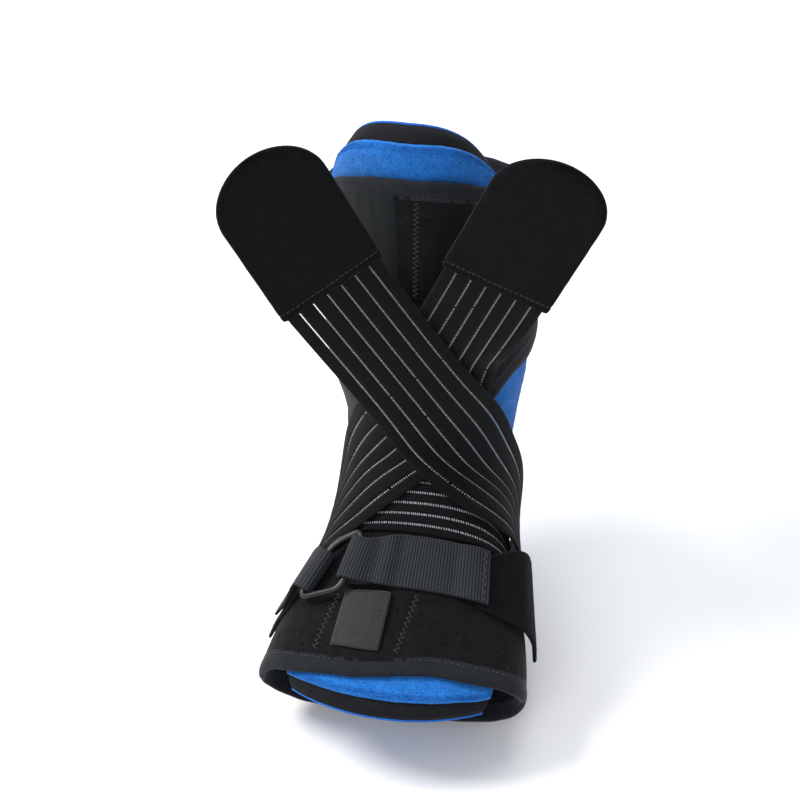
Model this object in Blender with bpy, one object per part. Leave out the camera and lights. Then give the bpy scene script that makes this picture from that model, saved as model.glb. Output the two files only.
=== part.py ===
"""Plantar fasciitis night splint: padded liner, leg and foot wraps, crossing elastic arms."""
import math

import bmesh
import bpy
import numpy as np

MM = 0.001

# driving sizes, metres
FOOT_REACH = 0.190     # ankle axis to the toe end of the form, along the foot
LEG_RISE = 0.216       # ankle axis to the top of the form, up the shin
FORM_WIDTH = 0.110     # width of the form at the toes
PAD = 0.011            # liner, front of the shin
PAD_SIDE = 0.70        # share of the liner's thickness left at the sides
LINER_CLOTH = 0.0012
WRAP = 0.0028          # perforated neoprene
BINDING_WIDTH = 0.010
ELASTIC = 0.0012
ARM_WIDTH = 0.050
TAB_WIDTH = 0.054
TAB_LENGTH = 0.085
TAB = 0.0024
LAP = 0.009            # elastic sewn under each tab
WEBBING = 0.0016
TAIL = 0.0020
HOOK_STRIP = 0.0012
RING_BAR = 0.0034
GAP = 0.0004           # between the liner's layers
LOOSE = 0.0009         # between pieces laid over one another
ARM_LOOSE = 0.0015     # under each arm
SEAM_GAP = 0.0012      # between the foot and leg wraps in front of the ankle

# sections of the form from toes to shin: x and half_width are shares of FORM_WIDTH,
# y, rise and drop of FOOT_REACH, z of LEG_RISE; tilt turns the section from upright to level
SECTION_COLUMNS = ("x", "y", "z", "tilt", "half_width", "rise", "drop", "square")
SECTIONS = np.array([
    (-0.032, -1.000, -0.315, 0, 0.491, 0.079, 0.074, 2.60),
    (-0.032, -0.842, -0.306, 0, 0.500, 0.089, 0.084, 2.60),
    (-0.032, -0.684, -0.282, 0, 0.495, 0.116, 0.111, 2.50),
    (-0.014, -0.526, -0.255, 0, 0.427, 0.168, 0.142, 2.35),
    (-0.011, -0.395, -0.218, 0, 0.332, 0.211, 0.184, 2.20),
    (-0.034, -0.186, -0.140, 28, 0.275, 0.221, 0.285, 2.10),
    (-0.038, -0.067, -0.029, 48, 0.288, 0.221, 0.395, 2.00),
    (-0.045, -0.004, 0.103, 68, 0.327, 0.220, 0.300, 2.00),
    (-0.064, 0.000, 0.255, 90, 0.377, 0.200, 0.221, 2.00),
    (-0.082, 0.016, 0.463, 90, 0.373, 0.211, 0.242, 2.00),
    (-0.100, 0.026, 0.694, 90, 0.355, 0.226, 0.268, 2.00),
    (-0.114, 0.032, 0.861, 90, 0.345, 0.237, 0.284, 2.00),
    (-0.127, 0.037, 1.000, 90, 0.345, 0.247, 0.295, 2.00),
])

# edges of the soft pieces: station on the form at each angle round it, 0 in front, 90 inside
TOE_EDGE = ((-180, 1.95), (-120, 1.85), (-85, 1.62), (-62, 1.50), (-42, 1.34), (-20, 1.27), (0, 1.33),
            (20, 1.45), (42, 1.50), (60, 1.60), (85, 1.80), (120, 1.92))
FOOT_REAR_EDGE = ((-180, 4.25), (-130, 4.30), (-100, 4.45), (-78, 4.75), (-50, 5.70), (-25, 5.85),
                  (0, 5.85), (20, 5.60), (41, 5.35), (60, 5.10), (78, 4.80), (100, 4.50), (130, 4.30))
LEG_LOWER_EDGE = ((-180, 8.75), (-140, 8.10), (-105, 6.90), (-80, 6.22), (-50, 5.95), (-25, 5.90),
                  (0, 5.90), (20, 6.55), (41, 7.70), (55, 8.03), (75, 8.12), (100, 8.25), (140, 8.50))
LEG_TOP_EDGE = ((-180, 9.60), (-120, 9.75), (-90, 9.90), (-63, 10.18), (-40, 10.62), (-20, 10.90),
                (0, 11.00), (20, 10.92), (40, 10.66), (63, 10.18), (90, 9.90), (120, 9.75))

# half of the liner's spread round the form at each station
LINER_SPREAD = ((1.0, 50), (1.5, 53), (3.0, 64), (4.5, 86), (6.0, 103), (8.0, 104), (9.5, 88), (10.3, 72),
                (11.5, 68))
LINER_TOE = (0.96, 0.48)   # station at the middle of the toe end, fall to its tips
LINER_TOP = (11.55, 1.55)  # station at the middle of the top end, fall to its tips
LINER_SLANT = 0.20         # stations that the liner's inner face runs on at its cut ends

# middle line of each arm on the form, from under the sole to the crossing
FRONT_ARM_ON_FORM = ((3.95, 147), (4.15, 127), (4.40, 108), (4.65, 90), (4.85, 71), (5.05, 53), (5.45, 37),
                     (6.10, 26), (6.95, 18))
REAR_ARM_ON_FORM = ((3.75, -145), (3.85, -120), (3.98, -98), (4.15, -78), (4.42, -57), (4.92, -37),
                    (5.95, -19), (7.20, -4), (8.15, 9), (8.60, 16))
# free end of each arm at its tab: seam middle, direction across at the seam and where the arm
# leaves the form, turn of the tab; x in shares of FORM_WIDTH, y of FOOT_REACH, z of LEG_RISE
FRONT_ARM_SEAM = ((-0.380, -0.434, 0.669), (0.71, 0.49, 0.44), (0.87, 0.12, 0.475), 0.08)
REAR_ARM_SEAM = ((0.293, -0.316, 0.639), (0.90, 0.00, -0.43), (0.86, 0.16, -0.47), 0.0)
FREE_ROWS = (0.15, 0.35, 0.60, 0.80)

# layers over the liner: lower face of each, above the liner's outer cloth
WRAP_AT = LOOSE
BAND_AT = WRAP_AT + WRAP + LOOSE
REAR_ARM_AT = BAND_AT + ELASTIC + ARM_LOOSE
FRONT_ARM_AT = REAR_ARM_AT + ELASTIC + ARM_LOOSE
TAIL_AT = FRONT_ARM_AT + ELASTIC + LOOSE

# ring on the foot: station and angle of the low and high end of the part of each bar that holds a strap
INNER_BAR = ((2.79, -29.0), (3.53, -27.5))
OUTER_BAR = ((2.62, -48.0), (3.26, -42.0))
BAR_AT = BAND_AT + WEBBING + LOOSE * 2 + RING_BAR / 2
RING_CORNER = 0.0054       # a bar runs on past its strap to the ring's corner
FOLD_TURNS = np.radians((-90, -45, 0, 45, 90))
STRAP_SHARES = (0, 1 / 3, 2 / 3, 1)
# strap tail: angle, low edge's station and rise in shares of TAIL, high edge's station and share
# of the way from the band's height up to the height over the front arm
TAIL_PATH = ((36.5, 2.70, 0, 3.62, 0), (43, 2.68, 0, 3.66, 0.08), (52, 2.64, 0.4, 3.82, 0.6),
             (61, 2.62, 1.3, 3.96, 1), (75, 2.60, 1.3, 4.10, 1.04), (92, 2.58, 1.3, 4.18, 1.04))

AROUND = 36
PROFILE_STEP = 0.02    # stations, for slopes
MARCH_STEP = 0.002


def curve(knots, values, at):
    """Smooth line through values at rising knots."""
    knots, values = np.asarray(knots, float), np.asarray(values, float)
    slopes = np.gradient(values, knots)
    at = np.clip(at, knots[0], knots[-1])
    low = np.clip(np.searchsorted(knots, at, side="right") - 1, 0, len(knots) - 2)
    span = knots[low + 1] - knots[low]
    t = (at - knots[low]) / span
    return ((2 * t**3 - 3 * t**2 + 1) * values[low] + (t**3 - 2 * t**2 + t) * span * slopes[low]
            + (3 * t**2 - 2 * t**3) * values[low + 1] + (t**3 - t**2) * span * slopes[low + 1])


def edge(table, angle):
    """Station of a closed edge at an angle in degrees."""
    rows = np.array(table, float)
    rows = np.vstack([rows - (360, 0), rows, rows + (360, 0)])
    return curve(rows[:, 0], rows[:, 1], (np.asarray(angle, float) + 180) % 360 - 180)


def section_slopes():
    """Slopes that make each column of the section table one even curve."""
    count = len(SECTIONS)
    ahead, behind = np.eye(count, k=1), np.eye(count, k=-1)
    weights = 4 * np.eye(count) + ahead + behind
    weights[0, 0] = weights[-1, -1] = 2
    padded = np.vstack([SECTIONS[:1], SECTIONS, SECTIONS[-1:]])
    return np.linalg.solve(weights, 3 * (padded[2:] - padded[:-2]))


SECTION_SLOPES = section_slopes()


def section(station):
    """Values of the section table at a station, in metres."""
    station = np.clip(station, 0, len(SECTIONS) - 1)
    low = np.minimum(station.astype(int), len(SECTIONS) - 2)
    t = (station - low)[..., None]
    row = ((2 * t**3 - 3 * t**2 + 1) * SECTIONS[low] + (t**3 - 2 * t**2 + t) * SECTION_SLOPES[low]
           + (3 * t**2 - 2 * t**3) * SECTIONS[low + 1] + (t**3 - t**2) * SECTION_SLOPES[low + 1])
    units = dict(x=FORM_WIDTH, half_width=FORM_WIDTH, y=FOOT_REACH, rise=FOOT_REACH, drop=FOOT_REACH,
                 z=LEG_RISE)
    return {name: row[..., i] * units.get(name, 1) for i, name in enumerate(SECTION_COLUMNS)}


def skin(station, angle):
    """Point of the bare form."""
    s, turn = section(station), np.radians(angle)
    tilt = np.radians(s["tilt"])
    swell = (np.abs(np.sin(turn))**s["square"] + np.abs(np.cos(turn))**s["square"])**(-1 / s["square"])
    up = np.where(np.cos(turn) > 0, s["rise"], s["drop"]) * swell * np.cos(turn)
    return np.stack([s["x"] + s["half_width"] * swell * np.sin(turn),
                     s["y"] - up * np.sin(tilt), s["z"] + up * np.cos(tilt)], -1)


def slopes(station, angle):
    """Change of the bare form's point per station and per degree."""
    step = PROFILE_STEP
    low, high = np.maximum(station - step, 0), np.minimum(station + step, len(SECTIONS) - 1)
    along = (skin(high, angle) - skin(low, angle)) / (high - low)[..., None]
    around = (skin(station, angle + 1) - skin(station, angle - 1)) / 2
    return along, around


def unit(v):
    return v / np.linalg.norm(v, axis=-1, keepdims=True)


def over_form(station, angle, lift):
    """Point at a height over the bare form."""
    station, angle = np.broadcast_arrays(np.asarray(station, float), np.asarray(angle, float))
    along, around = slopes(station, angle)
    return skin(station, angle) + unit(np.cross(around, along)) * np.broadcast_to(lift, station.shape)[..., None]


def pad(angle):
    """Thickness of the liner at an angle; it thins to the sides and ends behind."""
    turn = np.radians(np.abs((np.asarray(angle, float) + 180) % 360 - 180))
    front = 1 - (1 - PAD_SIDE) * np.sin(turn)**2
    behind = PAD_SIDE * (0.5 - 0.5 * np.cos(2 * turn))
    return PAD * np.where(turn < math.pi / 2, front, behind)


def over_pad(station, angle, lift):
    return over_form(station, angle, pad(angle) + lift)


def step_stations(station, angle, length):
    """Station a length further along the form at the same angle."""
    along, _ = slopes(station, angle)
    return station + length / np.linalg.norm(along, axis=-1)


def make(name, verts, faces, colour, roughness):
    mesh = bpy.data.meshes.new(name)
    mesh.from_pydata([tuple(v) for v in verts], [], faces)
    work = bmesh.new()
    work.from_mesh(mesh)
    bmesh.ops.recalc_face_normals(work, faces=work.faces)
    if work.calc_volume(signed=True) < 0:
        bmesh.ops.reverse_faces(work, faces=work.faces)
    for face in work.faces:
        face.smooth = True
    work.to_mesh(mesh)
    work.free()
    material = bpy.data.materials.new(name)
    material.use_nodes = True
    shader = material.node_tree.nodes["Principled BSDF"]
    shader.inputs["Base Color"].default_value = (*colour, 1)
    shader.inputs["Roughness"].default_value = roughness
    mesh.materials.append(material)
    obj = bpy.data.objects.new(name, mesh)
    bpy.context.scene.collection.objects.link(obj)
    return obj


def grid_faces(rows, columns, closed):
    """Triangles of a grid of rows by columns; a closed one joins its last column to its first."""
    faces = []
    for r in range(rows - 1):
        for c in range(columns if closed else columns - 1):
            a, b = r * columns + c, r * columns + (c + 1) % columns
            faces += [(a, b, b + columns), (a, b + columns, a + columns)]
    return faces


def shell(name, lower, upper, closed, colour, roughness):
    """Solid between two grids of points, joined round its rim."""
    rows, columns = lower.shape[:2]
    count = rows * columns
    faces = grid_faces(rows, columns, closed)
    faces += [tuple(reversed([v + count for v in f])) for f in faces]
    rims = [[(r * columns + c) for c in range(columns)] + ([r * columns] if closed else [])
            for r in (0, rows - 1)]
    if not closed:
        rims += [[r * columns + c for r in range(rows)] for c in (0, columns - 1)]
    for rim in rims:
        faces += [(a, b, b + count, a + count) for a, b in zip(rim, rim[1:])]
    return make(name, np.vstack([lower.reshape(-1, 3), upper.reshape(-1, 3)]), faces, colour, roughness)


def hoop(name, profiles, colour, roughness):
    """Closed ring through profiles, each a closed outline of points."""
    rows, columns = profiles.shape[:2]
    looped = np.vstack([profiles, profiles[:1]])
    faces = [tuple(v % (rows * columns) for v in f) for f in grid_faces(len(looped), columns, True)]
    return make(name, profiles.reshape(-1, 3), faces, colour, roughness)


def smooth_rows(rows, count=None):
    """The rows of points on a smooth line, sampled evenly, or with a row halfway between each two."""
    rows = np.asarray(rows, float)
    knots = np.concatenate([[0], np.cumsum(np.linalg.norm(
        np.diff(rows.reshape(len(rows), -1, 3).mean(1), axis=0), axis=1))])
    if count:
        at = np.linspace(0, knots[-1], count)
    else:
        at = np.sort(np.concatenate([knots, (knots[1:] + knots[:-1]) / 2]))
    flat = rows.reshape(len(rows), -1)
    return np.stack([curve(knots, flat[:, i], at) for i in range(flat.shape[1])], -1).reshape(
        (len(at),) + rows.shape[1:])


# liner

def liner_grid(height):
    """Stations and angles of a face of the liner, from toes to top and from side to side."""
    across = np.linspace(-1, 1, 13)
    share = np.linspace(0, 1, 21)
    toe = LINER_TOE[0] + LINER_TOE[1] * np.abs(across)**2.2
    top = LINER_TOP[0] - LINER_TOP[1] * np.abs(across)**2.4
    station = toe + (top - toe) * share[:, None]
    station[0] -= LINER_SLANT * (1 - height)
    station[-1] += LINER_SLANT * (1 - height)
    spread = np.array(LINER_SPREAD, float)
    return station, across * curve(spread[:, 0], spread[:, 1], station)


def build_liner():
    cloth = LINER_CLOTH / PAD
    core = (LINER_CLOTH + GAP) / PAD
    layers = (("liner_inner_cloth", (0, 0), (cloth, cloth * PAD), (0.02, 0.12, 0.42), 0.95),
              ("liner_foam", (core, core * PAD), (1 - core, -core * PAD), (0.02, 0.02, 0.022), 0.9),
              ("liner_outer_cloth", (1 - cloth, -cloth * PAD), (1, 0), (0.03, 0.20, 0.62), 0.95))
    for name, low, high, colour, roughness in layers:
        faces = []
        for height, lift in (low, high):
            station, angle = liner_grid(height)
            faces.append(over_form(station, angle, lift + (pad(angle) if height > 0.5 else 0 * angle)))
        shell(name, faces[0], faces[1], False, colour, roughness)


# wraps and their bindings

def turns():
    return np.linspace(-180, 180, AROUND, endpoint=False)


def build_wrap(name, low, high, rows):
    """Closed wrap between a low and a high edge, each a station for every turn."""
    station = low + (high - low) * np.linspace(0, 1, rows)[:, None]
    angle = np.broadcast_to(turns(), station.shape)
    shell(name, over_pad(station, angle, WRAP_AT), over_pad(station, angle, WRAP_AT + WRAP), True,
          (0.012, 0.013, 0.015), 0.85)


def build_wraps():
    bound = BINDING_WIDTH + LOOSE
    angle = turns()
    leg_edge, top_edge = edge(LEG_LOWER_EDGE, angle), edge(LEG_TOP_EDGE, angle)
    rear_edge = np.minimum(edge(FOOT_REAR_EDGE, angle), step_stations(leg_edge, angle, -SEAM_GAP))
    build_wrap("foot_wrap", step_stations(edge(TOE_EDGE, angle), angle, bound), rear_edge, 10)
    build_wrap("leg_wrap", step_stations(leg_edge, angle, bound), step_stations(top_edge, angle, -bound), 10)


def build_binding(name, edge_table, inward):
    """Rounded tape along an edge; inward is 1 where the wrap lies above the edge."""
    angle = turns()
    start = edge(edge_table, angle)
    outline = ((0.0, 0.3), (0.0, 0.7), (0.12, 1.0), (1.0, 1.0), (1.0, 0.0), (0.12, 0.0))
    points = [over_pad(step_stations(start, angle, inward * BINDING_WIDTH * run), angle, WRAP_AT + WRAP * high)
              for run, high in outline]
    hoop(name, np.stack(points, 1), (0.018, 0.019, 0.021), 0.7)


# elastic arms, their tabs and the instep band

def smooth_path(path):
    """Stations and angles of a path with a point added halfway between its rows."""
    rows = np.array(path, float)
    knots = np.arange(len(rows))
    at = np.arange(2 * len(rows) - 1) / 2
    return curve(knots, rows[:, 0], at), curve(knots, rows[:, 1], at)


def spread_on_form(path, offsets, lift):
    """Points at offsets to the right of a path on the form, marched over its surface."""
    station, angle = smooth_path(path)
    middle = over_pad(station, angle, lift)
    ahead = unit(np.gradient(middle, axis=0))
    out = unit(over_pad(station, angle, lift + MM) - middle)
    right = unit(np.cross(ahead, out))
    columns = []
    for offset in offsets:
        s, a, heading = station.copy(), angle.copy(), right
        steps = max(1, math.ceil(abs(offset) / MARCH_STEP))
        for _ in range(steps):
            along = (over_pad(s + PROFILE_STEP, a, lift) - over_pad(s - PROFILE_STEP, a, lift)) / PROFILE_STEP / 2
            around = (over_pad(s, a + 1, lift) - over_pad(s, a - 1, lift)) / 2
            heading = unit(heading - np.sum(heading * unit(np.cross(along, around)), -1)[:, None]
                           * unit(np.cross(along, around)))
            rise, side = np.sum(along * heading, -1), np.sum(around * heading, -1)
            aa, bb, ab = (np.sum(p * q, -1) for p, q in ((along, along), (around, around), (along, around)))
            length = offset / steps / (aa * bb - ab**2)
            s, a = s + length * (rise * bb - side * ab), a + length * (side * aa - rise * ab)
        columns.append((s, a))
    return np.array(columns).transpose(2, 0, 1)


def square_to(vector, direction):
    """The vector turned square to a direction."""
    vector = np.array(vector, float)
    return unit(vector - direction * (vector @ direction))


def build_arm(name, on_form, seam, lift, tab_name):
    offsets = np.linspace(-0.5, 0.5, 7) * ARM_WIDTH
    spots = spread_on_form(on_form, offsets, WRAP_AT)
    start = over_pad(*np.array(on_form[-1], float), lift)
    middle = np.array(seam[0]) * (FORM_WIDTH, FOOT_REACH, LEG_RISE)
    ahead = unit(middle - start)
    across_seam, across_start = square_to(seam[1], ahead), square_to(seam[2], ahead)
    faces = []
    for height in (0, ELASTIC):
        rows = list(over_pad(spots[..., 0], spots[..., 1], lift + height))
        bend = rows[-1] - start
        for share in FREE_ROWS + (1, 1 + LAP / np.linalg.norm(middle - start)):
            flat = min(share, 1)
            across = unit(across_start * (1 - flat) + across_seam * flat)
            level = np.outer(offsets, across) + np.cross(across, ahead) * height
            rows.append(start + (middle - start) * share + level + (bend - level) * (1 - flat)**3)
        faces.append(smooth_rows(rows, 30))
    shell(name, faces[0], faces[1], False, (0.014, 0.015, 0.017), 0.8)
    tab_ahead = unit(ahead + across_seam * seam[3])
    build_tab(tab_name, middle, tab_ahead, square_to(across_seam, tab_ahead))


def build_tab(name, middle, ahead, across):
    """Flat tab with a round end, sewn over the front of the arm's end."""
    radius = TAB_WIDTH / 2
    straight = TAB_LENGTH - radius
    runs = np.concatenate([np.linspace(0, straight, 5)[:-1],
                           straight + radius * np.sin(np.radians((0, 18, 36, 52, 66, 78, 86)))])
    half = radius * np.sqrt(1 - (np.clip(runs - straight, 0, None) / radius)**2)
    sides = np.linspace(-1, 1, 7)
    out = np.cross(across, ahead)
    base = middle + runs[:, None, None] * ahead + (half[:, None] * sides)[..., None] * across
    low = base + out * (ELASTIC + LOOSE)
    shell(name, low, low + out * TAB, False, (0.010, 0.010, 0.011), 0.95)


def build_band():
    """Instep band, closed round the midfoot under both arms."""
    angle = turns()
    front = 0.5 + 0.5 * np.cos(np.radians(angle))
    low, high = 3.68 + 0.09 * front, 4.10 + 0.75 * front
    station = low + (high - low) * np.linspace(0, 1, 5)[:, None]
    angle = np.broadcast_to(angle, station.shape)
    shell("instep_band", over_pad(station, angle, BAND_AT), over_pad(station, angle, BAND_AT + ELASTIC), True,
          (0.016, 0.017, 0.019), 0.8)


# midfoot strap, ring and strips

def ribbon(name, rows, thickness, colour, roughness):
    """Strap with its middle face through rows of points."""
    rows = np.asarray(rows)
    steps = unit(np.diff(rows[:, 0] + rows[:, -1], axis=0))
    ahead = unit(np.vstack([steps[:1], steps]) + np.vstack([steps, steps[-1:]]))
    out = unit(np.cross(ahead, unit(rows[:, -1] - rows[:, 0])))[:, None]
    return shell(name, rows - out * thickness / 2, rows + out * thickness / 2, False, colour, roughness)


def strap_rows(table):
    """Rows of points over the form from rows of angle, low station and height, high station and height."""
    rows = []
    for angle, low, low_lift, high, high_lift in table:
        ends = over_pad((low, high), angle, np.array((low_lift, high_lift)))
        rows.append([ends[0] + (ends[1] - ends[0]) * share for share in STRAP_SHARES])
    return rows


def level_rows(table, lift):
    """Rows of points at one height from rows of angle, low station and high station."""
    return strap_rows([(angle, low, lift, high, lift) for angle, low, high in table])


def ring_plane():
    """Ends of the held parts of the inner and outer bar, on one plane, and its way out of the form."""
    spots = np.vstack([over_pad(*np.array(line, float).T, BAR_AT) for line in (INNER_BAR, OUTER_BAR)])
    out = unit(np.cross(spots[3] - spots[0], spots[2] - spots[1]))
    spots = spots - np.outer((spots - spots.mean(0)) @ out, out)
    lifted = over_pad(*np.array(INNER_BAR[0], float), BAR_AT + MM) - over_pad(*np.array(INNER_BAR[0], float), BAR_AT)
    return spots.reshape(2, 2, 3), out if out @ lifted > 0 else -out


def folded(bar, turn):
    """Rows of points of a strap folded back round a ring bar; turn is the side that it folds on."""
    ends = ring_plane()[0][bar]
    station, angle = np.mean((INNER_BAR, OUTER_BAR)[bar], axis=0)
    along = unit(ends[1] - ends[0])
    out = square_to(over_pad(station, angle, BAR_AT + MM) - over_pad(station, angle, BAR_AT), along)
    around = np.cross(along, out)
    reach = RING_BAR / 2 + LOOSE + WEBBING / 2
    rows = []
    for away, up in ((-1.6, -1),) + tuple((math.cos(t), math.sin(t)) for t in FOLD_TURNS) + ((-1.2, 0.8),):
        shift = reach * (around * turn * away + out * up)
        rows.append([ends[0] + (ends[1] - ends[0]) * share + shift for share in STRAP_SHARES])
    return rows


def build_strap():
    low, doubled = BAND_AT + WEBBING / 2, BAND_AT + WEBBING * 1.5 + LOOSE
    lapped = BAND_AT + TAIL + LOOSE + WEBBING / 2
    rows = level_rows(((-17.5, 2.79, 3.58),), low) + folded(0, -1)
    rows += level_rows(((-16.5, 2.79, 3.59), (-11, 2.78, 3.64)), doubled)
    rows += level_rows([(angle, 2.79, 3.68) for angle in range(-5, 26, 6)], low)
    rows += level_rows(((30, 2.77, 3.68),), low + TAIL * 0.9)
    rows += level_rows(((34.5, 2.76, 3.68), (41, 2.75, 3.68)), lapped)
    ribbon("webbing_strap", rows, WEBBING, (0.03, 0.032, 0.036), 0.75)


def build_tail():
    """Loop strip from under the webbing's end out over the front arm, round the inside of the foot."""
    low, high = BAND_AT + TAIL / 2, TAIL_AT + TAIL
    rows = strap_rows([(angle, low_at, low + rise * TAIL, high_at, low + (high - low) * share)
                       for angle, low_at, rise, high_at, share in TAIL_PATH])
    ribbon("strap_tail", smooth_rows(rows), TAIL, (0.010, 0.010, 0.011), 0.95)


def build_ring():
    """Flat rectangular loop with rounded corners, held by the strap's fold and the ring tab's fold."""
    bars, out = ring_plane()
    corners = []
    for ends in (bars[0], bars[1][::-1]):
        reach = unit(ends[1] - ends[0]) * RING_CORNER
        corners += [ends[0] - reach, ends[1] + reach]
    corners = np.array(corners)
    path = []
    for before, here, after in zip(np.roll(corners, 1, 0), corners, np.roll(corners, -1, 0)):
        sides = [unit(other - here) for other in (before, after)]
        half = math.acos(sides[0] @ sides[1]) / 2
        centre = here + unit(sides[0] + sides[1]) * RING_CORNER / math.cos(half)
        start, end = (here + side * RING_CORNER - centre for side in sides)
        turn = math.pi - 2 * half
        path += [centre + (start * math.sin(turn - t) + end * math.sin(t)) / math.sin(turn)
                 for t in np.linspace(0, turn, 4)]
    path = np.array(path)
    profiles = []
    for before, here, after in zip(np.roll(path, 1, 0), path, np.roll(path, -1, 0)):
        ahead = unit(unit(here - before) + unit(after - here))
        side = np.cross(ahead, out) / (ahead @ unit(after - here))
        profiles.append([here + RING_BAR / 2 * (side * math.cos(t) + out * math.sin(t))
                         for t in np.radians(np.arange(0, 360, 45))])
    hoop("ring", np.array(profiles), (0.01, 0.01, 0.01), 0.25)


def build_ring_tab():
    low, doubled = BAND_AT + WEBBING / 2, BAND_AT + WEBBING * 1.5 + LOOSE
    rows = smooth_rows(level_rows(((-78, 2.20, 2.90), (-70, 2.31, 3.00), (-62, 2.43, 3.10)), low))
    rows = list(rows) + folded(1, 1) + level_rows(((-61, 2.44, 3.12), (-66, 2.37, 3.05)), doubled)
    ribbon("ring_tab", rows, WEBBING, (0.02, 0.02, 0.022), 0.9)


def build_hook_strip():
    rows = level_rows(((-28, 1.78, 2.66), (-21, 1.76, 2.67), (-14, 1.74, 2.68), (-6, 1.74, 2.68)),
                      BAND_AT + HOOK_STRIP / 2)
    ribbon("hook_strip", rows, HOOK_STRIP, (0.012, 0.012, 0.013), 0.9)


for old in list(bpy.data.objects):
    bpy.data.objects.remove(old)
build_liner()
build_wraps()
build_binding("toe_binding", TOE_EDGE, 1)
build_binding("leg_lower_binding", LEG_LOWER_EDGE, 1)
build_binding("leg_top_binding", LEG_TOP_EDGE, -1)
build_band()
build_arm("rear_arm", REAR_ARM_ON_FORM, REAR_ARM_SEAM, REAR_ARM_AT, "rear_arm_tab")
build_arm("front_arm", FRONT_ARM_ON_FORM, FRONT_ARM_SEAM, FRONT_ARM_AT, "front_arm_tab")
build_strap()
build_tail()
build_ring()
build_ring_tab()
build_hook_strip()
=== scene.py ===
# Plantar fasciitis night splint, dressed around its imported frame.
import math

import bmesh
import bpy
import numpy as np
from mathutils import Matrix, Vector


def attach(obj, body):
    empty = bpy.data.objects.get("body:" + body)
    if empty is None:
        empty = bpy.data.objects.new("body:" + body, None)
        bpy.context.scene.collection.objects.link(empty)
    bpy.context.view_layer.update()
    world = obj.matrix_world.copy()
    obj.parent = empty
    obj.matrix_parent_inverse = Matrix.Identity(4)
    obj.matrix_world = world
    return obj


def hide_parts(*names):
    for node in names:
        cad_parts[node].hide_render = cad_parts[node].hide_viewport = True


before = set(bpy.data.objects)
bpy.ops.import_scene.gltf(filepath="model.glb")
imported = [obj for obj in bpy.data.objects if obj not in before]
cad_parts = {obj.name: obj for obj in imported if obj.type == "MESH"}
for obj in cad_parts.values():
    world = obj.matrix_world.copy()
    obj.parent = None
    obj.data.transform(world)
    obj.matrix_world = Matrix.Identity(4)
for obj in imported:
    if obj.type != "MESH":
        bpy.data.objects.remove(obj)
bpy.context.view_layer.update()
print("frame loaded, nodes:", len(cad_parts))

mm = 0.001
footReach, legRise, formWidth = 0.190, 0.216, 0.110

# the worn form, toes first: x and half width in form widths, y, rise and drop in foot reaches,
# z in leg rises, then how far the section leans over and how square it is
sectionNames = ("x", "y", "z", "tilt", "half", "rise", "drop", "square")
sections = np.array([
    (-0.032, -1.000, -0.315, 0, 0.491, 0.079, 0.074, 2.60),
    (-0.032, -0.842, -0.306, 0, 0.500, 0.089, 0.084, 2.60),
    (-0.032, -0.684, -0.282, 0, 0.495, 0.116, 0.111, 2.50),
    (-0.014, -0.526, -0.255, 0, 0.427, 0.168, 0.142, 2.35),
    (-0.011, -0.395, -0.218, 0, 0.332, 0.211, 0.184, 2.20),
    (-0.034, -0.186, -0.140, 28, 0.275, 0.221, 0.285, 2.10),
    (-0.038, -0.067, -0.029, 48, 0.288, 0.221, 0.395, 2.00),
    (-0.045, -0.004, 0.103, 68, 0.327, 0.220, 0.300, 2.00),
    (-0.064, 0.000, 0.255, 90, 0.377, 0.200, 0.221, 2.00),
    (-0.082, 0.016, 0.463, 90, 0.373, 0.211, 0.242, 2.00),
    (-0.100, 0.026, 0.694, 90, 0.355, 0.226, 0.268, 2.00),
    (-0.114, 0.032, 0.861, 90, 0.345, 0.237, 0.284, 2.00),
    (-0.127, 0.037, 1.000, 90, 0.345, 0.247, 0.295, 2.00),
])
# edges of the wraps: turn round the form in degrees, 0 in front, and station along it
toeEdge = ((-180, 1.95), (-120, 1.85), (-85, 1.62), (-62, 1.50), (-42, 1.34), (-20, 1.27), (0, 1.33),
           (20, 1.45), (42, 1.50), (60, 1.60), (85, 1.80), (120, 1.92))
footRearEdge = ((-180, 4.25), (-130, 4.30), (-100, 4.45), (-78, 4.75), (-50, 5.70), (-25, 5.85),
                (0, 5.85), (20, 5.60), (41, 5.35), (60, 5.10), (78, 4.80), (100, 4.50), (130, 4.30))
legLowerEdge = ((-180, 8.75), (-140, 8.10), (-105, 6.90), (-80, 6.22), (-50, 5.95), (-25, 5.90),
                (0, 5.90), (20, 6.55), (41, 7.70), (55, 8.03), (75, 8.12), (100, 8.25), (140, 8.50))
legTopEdge = ((-180, 9.60), (-120, 9.75), (-90, 9.90), (-63, 10.18), (-40, 10.62), (-20, 10.90),
              (0, 11.00), (20, 10.92), (40, 10.66), (63, 10.18), (90, 9.90), (120, 9.75))
linerSpread = ((1.0, 50), (1.5, 53), (3.0, 64), (4.5, 86), (6.0, 103), (8.0, 104), (9.5, 88), (10.3, 72),
               (11.5, 68))
linerToe, linerTop = (0.96, 0.48), (11.55, 1.55)

padThick, padSide, clothThick = 11 * mm, 0.70, 1.2 * mm
wrapThick, elasticThick, webThick, tailThick, tabThick = 2.8 * mm, 1.2 * mm, 1.6 * mm, 2.0 * mm, 2.4 * mm
loose, armLoose, bindingWide, hookThick = 0.9 * mm, 1.5 * mm, 10 * mm, 1.2 * mm
wrapAt = loose                                   # heights over the liner
bandAt = wrapAt + wrapThick + loose
rearArmAt = bandAt + elasticThick + armLoose
frontArmAt = rearArmAt + elasticThick + armLoose
tailAt = frontArmAt + elasticThick + loose


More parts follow.
